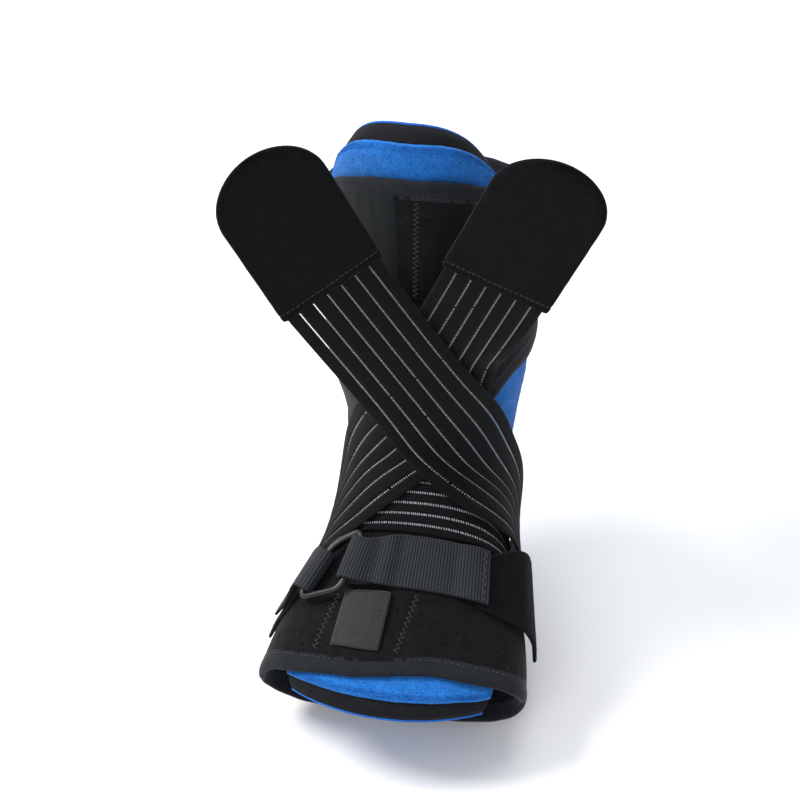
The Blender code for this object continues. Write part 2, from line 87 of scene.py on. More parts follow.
def curve(knots, values, at):
    knots, values = np.asarray(knots, float), np.asarray(values, float)
    lean = np.gradient(values, knots)
    at = np.clip(at, knots[0], knots[-1])
    low = np.clip(np.searchsorted(knots, at, side="right") - 1, 0, len(knots) - 2)
    span = knots[low + 1] - knots[low]
    t = (at - knots[low]) / span
    return ((2 * t**3 - 3 * t**2 + 1) * values[low] + (t**3 - 2 * t**2 + t) * span * lean[low]
            + (3 * t**2 - 2 * t**3) * values[low + 1] + (t**3 - t**2) * span * lean[low + 1])


def edgeAt(table, angle):
    rows = np.array(table, float)
    rows = np.vstack([rows - (360, 0), rows, rows + (360, 0)])
    return curve(rows[:, 0], rows[:, 1], (np.asarray(angle, float) + 180) % 360 - 180)


def evenLeans():
    count = len(sections)
    weights = 4 * np.eye(count) + np.eye(count, k=1) + np.eye(count, k=-1)
    weights[0, 0] = weights[-1, -1] = 2
    padded = np.vstack([sections[:1], sections, sections[-1:]])
    return np.linalg.solve(weights, 3 * (padded[2:] - padded[:-2]))


sectionLeans = evenLeans()


def sectionAt(station):
    station = np.clip(station, 0, len(sections) - 1)
    low = np.minimum(station.astype(int), len(sections) - 2)
    t = (station - low)[..., None]
    row = ((2 * t**3 - 3 * t**2 + 1) * sections[low] + (t**3 - 2 * t**2 + t) * sectionLeans[low]
           + (3 * t**2 - 2 * t**3) * sections[low + 1] + (t**3 - t**2) * sectionLeans[low + 1])
    units = dict(x=formWidth, half=formWidth, y=footReach, rise=footReach, drop=footReach, z=legRise)
    return {name: row[..., i] * units.get(name, 1) for i, name in enumerate(sectionNames)}


def formPoint(station, angle):
    s, turn = sectionAt(station), np.radians(angle)
    tilt = np.radians(s["tilt"])
    swell = (np.abs(np.sin(turn))**s["square"] + np.abs(np.cos(turn))**s["square"])**(-1 / s["square"])
    up = np.where(np.cos(turn) > 0, s["rise"], s["drop"]) * swell * np.cos(turn)
    return np.stack([s["x"] + s["half"] * swell * np.sin(turn),
                     s["y"] - up * np.sin(tilt), s["z"] + up * np.cos(tilt)], -1)


def formLeans(station, angle):
    low, high = np.maximum(station - 0.02, 0), np.minimum(station + 0.02, len(sections) - 1)
    along = (formPoint(high, angle) - formPoint(low, angle)) / (high - low)[..., None]
    return along, (formPoint(station, angle + 1) - formPoint(station, angle - 1)) / 2


def unit(v):
    return v / np.linalg.norm(v, axis=-1, keepdims=True)


def overForm(station, angle, lift):
    station, angle = np.broadcast_arrays(np.asarray(station, float), np.asarray(angle, float))
    along, around = formLeans(station, angle)
    out = unit(np.cross(around, along))
    return formPoint(station, angle) + out * np.broadcast_to(lift, station.shape)[..., None]


def padAt(angle):
    turn = np.radians(np.abs((np.asarray(angle, float) + 180) % 360 - 180))
    front = 1 - (1 - padSide) * np.sin(turn)**2
    return padThick * np.where(turn < math.pi / 2, front, padSide * (0.5 - 0.5 * np.cos(2 * turn)))


def overPad(station, angle, lift):
    return overForm(station, angle, padAt(angle) + lift)


def stepStations(station, angle, length):
    along, _ = formLeans(station, angle)
    return station + length / np.linalg.norm(along, axis=-1)


def lengthsAlong(points):
    # how far each point is from the first one, along their line
    return np.concatenate([[0], np.cumsum(np.linalg.norm(np.diff(points, axis=0), axis=1))])


def rowsAt(rows, knots, at):
    flat = rows.reshape(len(rows), -1)
    return np.stack([curve(knots, column, at) for column in flat.T], -1).reshape(len(at), -1, 3)


def smoothRows(rows, count=None):
    # rows of points evenly along their path, or else one more between each two
    rows = np.asarray(rows, float)
    knots = lengthsAlong(rows.mean(1))
    if count:
        return rowsAt(rows, knots, np.linspace(0, knots[-1], count))
    return rowsAt(rows, knots, np.sort(np.concatenate([knots, (knots[1:] + knots[:-1]) / 2])))


def waves(a, b, seed, size):
    # gentle uneven swell of height about 1; a and b are flat places, size the usual wave length
    dice = np.random.default_rng(seed)
    total = 0
    for _ in range(7):
        heading, phase = (dice.uniform(0, 2 * math.pi) for _ in range(2))
        stretch = dice.uniform(0.6, 1.7)
        place = a * math.cos(heading) + b * math.sin(heading)
        total = total + np.sin(place * 2 * math.pi / size / stretch + phase)
    return total / 2.6


def quadsBetween(r, c, nextR, nextC, columns):
    # point numbers round each face of a grid with this many columns
    corners = (r * columns + c, r * columns + nextC, nextR * columns + nextC, nextR * columns + c)
    return np.stack(corners, -1)


# meshes

class Maker:
    # gathers points, faces and their flat places, then makes one object of them
    def __init__(self):
        self.points, self.faces, self.flats, self.kinds, self.count = [], [], [], [], 0

    def add(self, points, faces, flats, kind=0):
        self.points.append(np.asarray(points).reshape(-1, 3))
        faces = np.asarray(faces)
        self.faces += (faces + self.count).tolist()
        self.flats.append(np.asarray(flats, float).reshape(-1, 2))
        self.kinds += [kind] * len(faces)
        self.count += len(self.points[-1])

    def slab(self, lower, upper, flat, closed=False, bulge=0.35):
        # flat has one column more than the points where the slab is closed round
        rows, columns = lower.shape[:2]
        around = columns if closed else columns - 1
        r, c = np.meshgrid(np.arange(rows - 1), np.arange(around), indexing="ij")
        quads = quadsBetween(r, c, r + 1, (c + 1) % columns, columns).reshape(-1, 4)
        corners = np.stack([flat[r, c], flat[r, c + 1], flat[r + 1, c + 1], flat[r + 1, c]], -2)
        corners = corners.reshape(-1, 4, 2)
        size = rows * columns
        faces, flats = [quads, quads[:, ::-1] + size], [corners, corners[:, ::-1]]
        points = [lower.reshape(-1, 3), upper.reshape(-1, 3)]
        index = np.arange(size).reshape(rows, columns)
        inner = index.copy()
        if closed:
            loops = [(index[0], index[1], flat[0]), (index[-1], index[-2], flat[-1])]
        else:
            inner[0], inner[-1] = index[1], index[-2]
            inner[:, 0], inner[:, -1] = inner[:, 1], inner[:, -2]
            ring = [(0, j) for j in range(columns)] + [(i, columns - 1) for i in range(1, rows)]
            ring += [(rows - 1, j) for j in range(columns - 2, -1, -1)]
            ring += [(i, 0) for i in range(rows - 2, 0, -1)]
            ring = tuple(np.array(ring).T)
            edge = flat[ring]
            loops = [(index[ring], inner[ring], np.vstack([edge, edge[:1]]))]
        middle = (points[0] + points[1]) / 2
        deep = np.linalg.norm(points[1] - points[0], axis=1)
        start = 2 * size
        for here, within, places in loops:
            out = middle[here] - middle[within]
            out = out / np.maximum(np.linalg.norm(out, axis=1, keepdims=True), 1e-9)
            points.append(middle[here] + out * (deep[here] * bulge)[:, None])
            there, count = np.roll(here, -1), len(here)
            ridge = start + np.arange(count)
            ridgeNext = np.roll(ridge, -1)
            faces += [np.stack([here, there, ridgeNext, ridge], -1),
                      np.stack([ridge, ridgeNext, there + size, here + size], -1)]
            places = np.stack([places[:count], places[1:count + 1], places[1:count + 1], places[:count]], 1)
            flats += [places, places]
            start += count
        flats = np.vstack([f.reshape(-1, 2) for f in flats])
        self.add(np.vstack(points), np.vstack(faces), flats)

    def hoops(self, profiles, flatAlong, flatAround):
        # closed ring of closed profiles
        rows, columns = profiles.shape[:2]
        r, c = np.meshgrid(np.arange(rows), np.arange(columns), indexing="ij")
        quads = quadsBetween(r, c, (r + 1) % rows, (c + 1) % columns, columns).reshape(-1, 4)
        a, b = flatAlong[r], flatAlong[r + 1]
        p, q = flatAround[c], flatAround[c + 1]
        flats = np.stack([np.stack(pair, -1) for pair in ((a, p), (a, q), (b, q), (b, p))], -2)
        self.add(profiles, quads, flats)

    def threads(self, starts, ends, radius, kind=0, sides=5, sag=None):
        # short rounded strands; sag lifts their middles
        starts, ends = np.asarray(starts, float), np.asarray(ends, float)
        ahead = unit(ends - starts)
        hint = np.where(np.abs(ahead[:, 2:]) < 0.9, np.array([[0, 0, 1.0]]), np.array([[1.0, 0, 0]]))
        side = unit(np.cross(ahead, hint))
        up = np.cross(side, ahead)
        turn = np.linspace(0, 2 * math.pi, sides, endpoint=False)
        spots = []
        for share, thick in ((0, 0.45), (0.25, 1), (0.75, 1), (1, 0.45)):
            centre = starts + (ends - starts) * share
            if sag is not None:
                centre = centre + sag * (4 * share * (1 - share))
            spots.append(centre[:, None] + radius * thick * (side[:, None] * np.cos(turn)[:, None]
                                                             + up[:, None] * np.sin(turn)[:, None]))
        spots = np.stack(spots, 1)                       # strand, ring, side, xyz
        n = len(starts)
        base = (np.arange(n) * 4 * sides)[:, None, None]
        ring, s = np.meshgrid(np.arange(3), np.arange(sides), indexing="ij")
        quads = quadsBetween(ring, s, ring + 1, (s + 1) % sides, sides)
        quads = (base[..., None] + quads[None]).reshape(-1, 4)
        self.add(spots, quads, np.zeros((len(quads) * 4, 2)), kind)
        caps = np.stack([np.arange(sides)[::-1], np.arange(sides) + 3 * sides])
        self.faces += (base + caps[None] + self.count - n * 4 * sides).reshape(-1, sides).tolist()
        self.flats.append(np.zeros((2 * n * sides, 2)))
        self.kinds += [kind] * (2 * n)

    def pile(self, roots, outs, length, wide, seed, lean=0.6):
        # short loose fibres standing on a surface, one thin blade each
        dice = np.random.default_rng(seed)
        n = len(roots)
        tilt = dice.normal(0, lean, (n, 3))
        tips = roots + unit(outs + tilt) * (length * dice.uniform(0.4, 1, n))[:, None]
        side = unit(np.cross(tips - roots, dice.normal(0, 1, (n, 3)))) * wide / 2
        points = np.stack([roots - side, roots + side, tips], 1)
        self.add(points, np.arange(3 * n).reshape(-1, 3), roots.repeat(3, 0)[:, :2])

    def make(self, name, *materials):
        mesh = bpy.data.meshes.new(name)
        mesh.from_pydata(np.vstack(self.points).tolist(), [], self.faces)
        layer = mesh.uv_layers.new(name="flat")
        layer.data.foreach_set("uv", np.vstack(self.flats).ravel())
        for material in materials:
            mesh.materials.append(material)
        mesh.polygons.foreach_set("material_index", self.kinds)
        work = bmesh.new()
        work.from_mesh(mesh)
        bmesh.ops.recalc_face_normals(work, faces=work.faces)
        for face in work.faces:
            face.smooth = True
        work.to_mesh(mesh)
        work.free()
        obj = bpy.data.objects.new(name, mesh)
        bpy.context.scene.collection.objects.link(obj)
        return obj


class Patch:
    # a grid of points whose rows run along a strip and whose columns run across it
    def __init__(self, points, outward=None):
        self.points = points
        self.rows, self.columns = points.shape[:2]
        along, across = np.gradient(points, axis=0), np.gradient(points, axis=1)
        self.out = unit(np.cross(along, across))
        if outward is not None and np.sum(self.out * outward) < 0:
            self.out = -self.out
        self.length = np.linalg.norm(np.diff(points, axis=0), axis=-1).sum(0).mean()
        self.width = np.linalg.norm(np.diff(points, axis=1), axis=-1).sum(1).mean()

    def at(self, along, across, lift=0.0):
        # along and across run from 0 to 1
        along, across, lift = np.broadcast_arrays(1.0 * along, 1.0 * across, lift)
        r, c = along * (self.rows - 1), across * (self.columns - 1)
        r0 = np.clip(np.floor(r).astype(int), 0, self.rows - 2)
        c0 = np.clip(np.floor(c).astype(int), 0, self.columns - 2)
        tr, tc = (r - r0)[..., None], (c - c0)[..., None]

        def blend(grid):
            return ((grid[r0, c0] * (1 - tc) + grid[r0, c0 + 1] * tc) * (1 - tr)
                    + (grid[r0 + 1, c0] * (1 - tc) + grid[r0 + 1, c0 + 1] * tc) * tr)
        return blend(self.points) + unit(blend(self.out)) * lift[..., None]

    def outAt(self, along, across):
        return unit(self.at(along, across, mm) - self.at(along, across))


def stitchLine(maker, patch, path, pitch, radius, lift, zigzag=0.0, kind=1, fill=0.72):
    # stitches along a path of (along, across) places; zigzag is how far they swing to each side
    spots = np.array(path, float)
    dense = np.stack([np.interp(np.linspace(0, len(spots) - 1, 200), np.arange(len(spots)), spots[:, i])
                      for i in (0, 1)], -1)
    line = patch.at(dense[:, 0], dense[:, 1])
    knots = lengthsAlong(line)
    count = max(2, int(knots[-1] / pitch))
    at = np.linspace(0, knots[-1], count + 1)
    places = np.stack([np.interp(at, knots, dense[:, i]) for i in (0, 1)], -1)
    spine = patch.at(places[:, 0], places[:, 1], lift)
    out = patch.outAt(places[:, 0], places[:, 1])
    ahead = unit(np.gradient(spine, axis=0))
    side = unit(np.cross(ahead, out))
    if zigzag:
        spine = spine + side * (zigzag * (-1.0)**np.arange(count + 1))[:, None]
        fill = 0.94
    starts = spine[:-1] + (spine[1:] - spine[:-1]) * (1 - fill) / 2
    ends = spine[1:] - (spine[1:] - spine[:-1]) * (1 - fill) / 2
    maker.threads(starts, ends, radius, kind, sag=out[:-1] * radius * 0.8)


def flatPlaces(patch, along, across):
    a, b = np.broadcast_arrays(np.asarray(along, float), np.asarray(across, float))
    return np.stack([b * patch.width, a * patch.length], -1)


# materials

class Wire:
    # a socket that takes sums like a number
    def __init__(self, paint, socket):
        self.paint, self.socket = paint, socket

    def __add__(self, other): return self.paint.sum("ADD", self, other)
    def __radd__(self, other): return self.paint.sum("ADD", other, self)
    def __sub__(self, other): return self.paint.sum("SUBTRACT", self, other)
    def __rsub__(self, other): return self.paint.sum("SUBTRACT", other, self)
    def __mul__(self, other): return self.paint.sum("MULTIPLY", self, other)
    def __rmul__(self, other): return self.paint.sum("MULTIPLY", other, self)
    def __truediv__(self, other): return self.paint.sum("DIVIDE", self, other)
    def __lt__(self, other): return self.paint.sum("LESS_THAN", self, other)


class Paint:
    def __init__(self, name, roughness, sheen=0.0, sheenRough=0.5, specular=0.3):
        self.material = bpy.data.materials.new(name)
        self.material.use_nodes = True
        self.tree = self.material.node_tree
        self.shader = self.tree.nodes["Principled BSDF"]
        for key, value in (("Roughness", roughness), ("Sheen Weight", sheen),
                           ("Sheen Roughness", sheenRough), ("Specular IOR Level", specular)):
            self.shader.inputs[key].default_value = value

    def node(self, kind, settings=None, out=0, **values):
        made = self.tree.nodes.new(kind)
        for key, value in (settings or {}).items():
            setattr(made, key, value)
        for key, value in values.items():
            socket = made.inputs[int(key[1:])] if key[0] == "i" and key[1:].isdigit() else made.inputs[key]
            self.feed(socket, value)
        return Wire(self, made.outputs[out])

    def feed(self, socket, value):
        if isinstance(value, Wire):
            self.tree.links.new(value.socket, socket)
        else:
            socket.default_value = value

    def sum(self, operation, a, b=0.0):
        return self.node("ShaderNodeMath", {"operation": operation}, i0=a, i1=b)

    def sine(self, a): return self.sum("SINE", a)
    def fraction(self, a): return self.sum("FRACT", a)
    def floor(self, a): return self.sum("FLOOR", a)
    def absolute(self, a): return self.sum("ABSOLUTE", a)

    def ramp(self, value, low, high):
        smooth = {"interpolation_type": "SMOOTHSTEP"}
        return self.node("ShaderNodeMapRange", smooth, i0=value, i1=low, i2=high)

    def flat(self):
        place = self.node("ShaderNodeUVMap", {"uv_map": "flat"})
        split = self.node("ShaderNodeSeparateXYZ", i0=place)
        return split, Wire(self, split.socket.node.outputs[1])

    def spot(self):
        return self.node("ShaderNodeTexCoord", out=3)

    def noise(self, scale, detail=2.0, rough=0.5):
        return self.node("ShaderNodeTexNoise", i0=self.spot(), Scale=scale, Detail=detail, Roughness=rough)

    def cells(self, scale):
        return self.node("ShaderNodeTexVoronoi", i0=self.spot(), Scale=scale)

    def mix(self, mask, a, b):
        made = self.tree.nodes.new("ShaderNodeMix")
        made.data_type = "RGBA"
        for socket, value in zip((made.inputs[0], made.inputs[6], made.inputs[7]), (mask, a, b)):
            self.feed(socket, (*value, 1) if isinstance(value, tuple) else value)
        return Wire(self, made.outputs[2])

    def finish(self, colour, height=None, deep=0.1 * mm, roughness=None):
        self.feed(self.shader.inputs["Base Color"], colour)
        if height is not None:
            bump = self.node("ShaderNodeBump", Strength=1.0, Distance=deep, Height=height)
            self.feed(self.shader.inputs["Normal"], bump)
        if roughness is not None:
            self.feed(self.shader.inputs["Roughness"], roughness)
        return self.material


def colour(r, g, b):
    # screen colour 0..255 to the render's linear values
    return tuple(round((v / 255 / 12.92) if v / 255 < 0.04 else ((v / 255 + 0.055) / 1.055)**2.4, 5)
                 for v in (r, g, b))


def ribs(paint, place, pitch, phase=0.0):
    return 0.5 + 0.5 * paint.sine(place * (2 * math.pi / pitch) + phase)


# the hole colour is near black: painted shade for the inside of each perforation
neoprene = {"face": colour(17, 18, 21), "shade": colour(7, 7, 9), "shadedHole": colour(1, 1, 2),
            "panel": colour(30, 34, 36), "knit": 0.75 * mm, "holePitch": 10.5 * mm, "holeSize": 0.75 * mm}


def neoprenePaint(name, panelEdge=None):
    # knitted face with small holes, which are filled with painted shade, and painted shade in the knit's
    # grooves; where u is under panelEdge it is smooth
    paint = Paint(name, 0.85, sheen=0.06, sheenRough=0.45, specular=0.12)
    u, v = paint.flat()
    rows = ribs(paint, v, neoprene["knit"]) * ribs(paint, u, neoprene["knit"] * 1.3)
    mottle = paint.ramp(paint.noise(160, 4, 0.6), 0.35, 0.7)
    fine = paint.noise(2400, 2, 0.6)
    skin = paint.mix(mottle * 0.7, neoprene["shade"], neoprene["face"])
    # where the knit's ribs are low the colour stays darker: painted shade in the grooves, over the random
    # mottle
    skin = paint.mix(rows * 0.35, skin, neoprene["face"])
    pitch, size = neoprene["holePitch"], neoprene["holeSize"]
    row = v / (pitch * 0.5)
    shift = paint.fraction(paint.floor(row) * 0.5) * pitch
    a = paint.fraction((u + shift) / pitch) - 0.5
    b = paint.fraction(row) - 0.5
    away = paint.sum("SQRT", a * a * pitch**2 + b * b * (pitch * 0.5)**2)
    shadedHole = 1 - paint.ramp(away, size * 0.55, size)
    dish = 1 - paint.ramp(away, size * 0.7, size * 2.0)
    plain = 0.0 if panelEdge is None else u < panelEdge
    height = rows * 0.5 + fine * 0.5 - (shadedHole * 3.0 + dish) * (1 - plain)
    # the holes are coloured near black: painted shade inside them
    skin = paint.mix((1 - plain) * shadedHole, skin, paint.mix(shadedHole, skin, neoprene["shadedHole"]))
    if panelEdge is not None:
        skin = paint.mix(plain * 0.8, skin, neoprene["panel"])
    return paint.finish(skin, height, 0.14 * mm)


def clothPaint(name, light, dark, grain=900.0, deep=0.25 * mm, sheen=0.6, sheenRough=0.4):
    paint = Paint(name, 0.95, sheen=sheen, sheenRough=sheenRough, specular=0.15)
    fine, broad = paint.noise(grain, 3, 0.65), paint.noise(grain / 9, 3, 0.6)
    tuft = paint.cells(grain * 1.3)
    mask = paint.ramp(fine * 0.6 + broad * 0.25 + tuft * 0.35, 0.34, 0.78)
    return paint.finish(paint.mix(mask, dark, light), fine * 0.7 + broad * 0.5 - tuft * 0.5, deep)


def elasticPaint():
    paint = Paint("elastic", 0.85, sheen=0.04, specular=0.10)
    u, v = paint.flat()
    cords = ribs(paint, u, 0.95 * mm)
    picks = ribs(paint, v + u * 0.25, 0.75 * mm)
    height = cords * 0.6 + picks * 0.4
    # the colour follows the ribs' height: painted shade darkens the grooves between cords and picks, and the
    # noise adds random tone
    mask = paint.ramp(height + paint.noise(500, 3) * 0.4, 0.3, 1.15)
    return paint.finish(paint.mix(mask, colour(4, 4, 5), colour(15, 16, 18)), height, 0.16 * mm)


def webbingPaint():
    paint = Paint("webbing", 0.75, sheen=0.05, specular=0.18)
    u, v = paint.flat()
    hair = paint.noise(2600, 3, 0.7)
    # thick and thin follow the weave: the colour is painted shade, dark in the gaps between cords and picks,
    # with random fibre tone from the hair noise
    thick = paint.absolute(paint.sine(v * (math.pi / 1.5 / mm)))
    thin = paint.absolute(paint.sine(u * (math.pi / 1.2 / mm)))
    mask = paint.ramp(thick * 0.65 + thin * 0.35 + hair * 0.3, 0.45, 1.1)
    return paint.finish(paint.mix(mask, colour(6, 7, 8), colour(46, 49, 56)), hair, 0.12 * mm)


def plasticPaint():
    paint = Paint("ring plastic", 0.34, specular=0.4)
    swirl = paint.noise(300, 3)
    skin = paint.mix(swirl, colour(14, 14, 15), colour(24, 24, 26))
    return paint.finish(skin, paint.noise(90, 2), 0.05 * mm, roughness=0.30 + swirl * 0.14)


def threadPaint(name, light, dark):
    paint = Paint(name, 0.6, sheen=0.3, specular=0.35)
    return paint.finish(paint.mix(paint.noise(1800, 2), dark, light), paint.noise(4000, 2), 0.05 * mm)


def floorPaint():
    paint = Paint("floor", 0.9, specular=0.1)
    return paint.finish(paint.mix(paint.noise(3, 2), (0.86, 0.86, 0.865), (0.88, 0.88, 0.885)))


paints = {
    "wrap": neoprenePaint("perforated neoprene"),
    "cuff": neoprenePaint("cuff neoprene", -5.4 * mm),
    "binding": clothPaint("binding tape", colour(33, 36, 41), colour(14, 15, 18), 1500, 0.10 * mm, 0.12),
    "elastic": elasticPaint(),
    "rung": threadPaint("clear rungs", colour(198, 202, 210), colour(128, 133, 142)),
    "loop": clothPaint("loop pile", colour(14, 16, 19), colour(2, 2, 3), 1100, 0.35 * mm, 0.05, 0.3),
    "blueOut": clothPaint("blue pile", colour(38, 116, 196), colour(14, 66, 138), 1300, 0.30 * mm, 0.12),
    "blueIn": clothPaint("blue lining", colour(40, 110, 200), colour(14, 62, 140), 1300, 0.25 * mm, 0.15),
    "foam": clothPaint("foam", colour(26, 27, 30), colour(9, 9, 11), 1700, 0.25 * mm, 0.02),
    "webbing": webbingPaint(),
    "plastic": plasticPaint(),
    "thread": threadPaint("black thread", colour(46, 48, 54), colour(16, 18, 21)),
    "edge": threadPaint("pale edge thread", colour(150, 150, 152), colour(70, 70, 74)),
    "hook": threadPaint("hook plastic", colour(15, 16, 17), colour(2, 2, 3)),
}
print("materials ready")


def place(obj, slot, node=None):
    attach(obj, "root")
    if node:
        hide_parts(node)
    print("made", obj.name, len(obj.data.polygons), "faces")
    return obj


# liner: blue cloth, black foam, blue cloth

liner = {"rows": 150, "columns": 56, "long": 330 * mm, "halfWide": 80 * mm, "rim": 6 * mm, "drop": 1.5 * mm,
         "swell": 0.35 * mm, "between": 0.3 * mm, "fibres": 34000, "fibre": 0.9 * mm, "fibreWide": 0.16 * mm}


def linerGrid(height):
    across = np.linspace(-1, 1, liner["columns"])
    share = np.linspace(0, 1, liner["rows"])
    toe = linerToe[0] + linerToe[1] * np.abs(across)**2.2
    top = linerTop[0] - linerTop[1] * np.abs(across)**2.4
    station = toe + (top - toe) * share[:, None]
    slant = 0.20 * (1 - height)
    station = station - slant * (1 - share[:, None])**8 + slant * share[:, None]**8
    spread = np.array(linerSpread, float)
    angle = across * curve(spread[:, 0], spread[:, 1], station)
    ends = np.minimum(share, 1 - share)[:, None] * liner["long"]
    rim = np.minimum(ends, (1 - np.abs(across)) * liner["halfWide"])
    fall = liner["drop"] * np.clip(1 - rim / liner["rim"], 0, 1)**2
    return station, angle, fall


def buildLiner():
    # name, slot, paint, then side (0 inner, 1 outer) and lift of the lower and the upper face
    inside = clothThick + liner["between"]
    layers = (("liner_inner_cloth", "liner_inner", "blueIn", (0, 0), (0, clothThick)),
              ("liner_foam", "foam", "foam", (0, inside), (1, -inside)),
              ("liner_outer_cloth", "liner_outer", "blueOut", (1, -clothThick), (1, 0)))
    for name, slot, paint, *faces in layers:
        grids = []
        for side, lift in faces:
            station, angle, fall = linerGrid(side)
            swell = liner["swell"] * waves(station * 25, angle, 3, 14)
            grids.append(overForm(station, angle, lift + side * (padAt(angle) - fall + swell)))
        patch = Patch(grids[1], grids[1] - grids[0])
        flat = flatPlaces(patch, np.linspace(0, 1, patch.rows)[:, None], np.linspace(0, 1, patch.columns))
        maker = Maker()
        if paint == "foam":
            maker.slab(grids[0], grids[1], flat, bulge=0.06)
            obj = maker.make(name + "_core", paints[paint])
            place(obj, slot, name)
            continue
        maker.slab(grids[0], grids[1], flat, bulge=0.5)
        dice = np.random.default_rng(11)
        n = liner["fibres"] if paint == "blueOut" else liner["fibres"] // 3
        a, b = dice.uniform(0, 1, n), dice.uniform(0, 1, n)
        edge = dice.uniform(0, 1, n) < 0.25                    # more of them along the cut ends
        a = np.where(edge, np.where(a < 0.5, a * 0.02, 1 - (1 - a) * 0.02), a)
        maker.pile(patch.at(a, b), patch.outAt(a, b), liner["fibre"], liner["fibreWide"], 12)
        obj = maker.make(name + "_pile", paints[paint])
        place(obj, slot, name)
        patchArea(patch)


def patchArea(patch):
    p = patch.points
    return float(np.linalg.norm(np.cross(p[1:, :-1] - p[:-1, :-1], p[:-1, 1:] - p[:-1, :-1]), axis=-1).sum())


buildLiner()

# neoprene wraps

wraps = {"columns": 200, "rows": 70, "girth": 330 * mm, "tall": 120 * mm, "swell": 0.28 * mm,
         "pucker": 0.22 * mm, "puckerPitch": 7 * mm, "seamPitch": 1.4 * mm, "thread": 0.16 * mm}


def wrapGrid(low, high):
    angle = np.linspace(-180, 180, wraps["columns"], endpoint=False)
    share = np.linspace(0, 1, wraps["rows"])[:, None]
    station = low(angle) + (high(angle) - low(angle)) * share
    return station, np.broadcast_to(angle, station.shape), share


def footLow(angle):
    return stepStations(edgeAt(toeEdge, angle), angle, bindingWide * 0.8)


def footHigh(angle):
    under = stepStations(edgeAt(legLowerEdge, angle), angle, -1.2 * mm)
    return np.minimum(edgeAt(footRearEdge, angle), under)


def legLow(angle):
    return stepStations(edgeAt(legLowerEdge, angle), angle, bindingWide * 0.8)


def legHigh(angle):
    return stepStations(edgeAt(legTopEdge, angle), angle, -bindingWide * 0.8)


def grooves(station, angle, lines):
    # sewn lines press the cloth down along a path of (station, angle)
    dip = np.zeros(station.shape)
    for (s0, a0), (s1, a1), wide, deep in lines:
        t = np.clip((station - s0) / (s1 - s0), -0.15, 1.15)
        inside = (t > -0.1) & (t < 1.1)
        dip = dip + np.where(inside, deep * np.exp(-((angle - (a0 + (a1 - a0) * t)) / wide)**2), 0)
    return dip


footSeams = (((1.72, -36.0), (2.62, -32.0), 2.0, 0.55 * mm), ((1.75, 3.0), (2.72, 8.0), 2.0, 0.55 * mm),
             ((1.75, -5.6), (2.70, -3.0), 0.7, 0.35 * mm))
legSeams = (((9.35, 2.5), (10.65, 5.5), 1.6, 0.5 * mm),)


def buildWrap(name, low, high, seams, step=None):
    station, angle, share = wrapGrid(low, high)
    around = angle / 360 * wraps["girth"]
    swell = wraps["swell"] * waves(around, share * wraps["tall"], 21, 38 * mm)
    edgeNear = np.exp(-share * 14) + np.exp(-(1 - share) * 14)
    ripple = np.sin(around / wraps["puckerPitch"] * 2 * math.pi + 2 * np.sin(angle / 13))
    swell = swell + wraps["pucker"] * edgeNear * ripple
    swell = swell - grooves(station, angle, seams)
    if step is not None:
        swell = swell + step(station, angle)
    lower = overPad(station, angle, wrapAt + 0.3 * np.minimum(swell, 0))
    upper = overPad(station, angle, wrapAt + wrapThick + swell)
    wide, tall = lengthsAlong(upper[30])[-1], lengthsAlong(upper[:, 100])[-1]
    full = np.concatenate([angle, angle[:, :1] + 360], 1)
    stations = np.concatenate([station, station[:, :1]], 1)
    flat = np.stack([full / 360 * wide, stations * 25 * mm], -1)
    maker = Maker()
    maker.slab(lower, upper, flat, closed=True)
    patch = Patch(upper, upper - lower)
    for start, end, wideSeam, _ in seams:
        if wideSeam < 1:                                        # a fold beside its seam
            continue
        spotS, spotA = (p + (q - p) * np.linspace(0, 1, 9) for p, q in zip(start, end))
        shareAt = (spotS - low(spotA)) / (high(spotA) - low(spotA))
        path = np.stack([shareAt, (spotA + 180) / 360 * wraps["columns"] / (wraps["columns"] - 1)], -1)
        stitchLine(maker, patch, path, wraps["seamPitch"], wraps["thread"], 0.22 * mm, wraps["seamPitch"])
    obj = maker.make(name + "_cloth", paints["cuff" if step else "wrap"], paints["thread"])
    place(obj, "neoprene", name)
    patchArea(patch)


def cuffPanel(station, angle):
    # the smooth panel left of the middle lies over the perforated one
    return 0.7 * mm / (1 + np.exp((angle + 6) * 3)) * np.clip((angle + 40) / 6, 0, 1)


buildWrap("foot_wrap", footLow, footHigh, footSeams)
buildWrap("leg_wrap", legLow, legHigh, legSeams, cuffPanel)

# folded binding with its row of stitches

binding = {"count": 300, "tape": 24 * mm, "shown": 13.5 * mm, "stitch": 2.6 * mm, "fill": 0.68,
           "thread": 0.16 * mm, "from": 8.2 * mm}
# outline of the folded tape: share of its width and height over the wrap's thickness
bindingOutline = ((0.12, 0.0), (0.02, 0.12), (-0.02, 0.5), (0.02, 0.88), (0.10, 1.05), (0.25, 1.16),
                  (0.45, 1.18), (0.65, 1.12), (0.80, 1.0), (0.88, 1.06), (0.97, 1.0), (1.0, 0.9),
                  (1.0, 0.1), (0.97, 0.0))


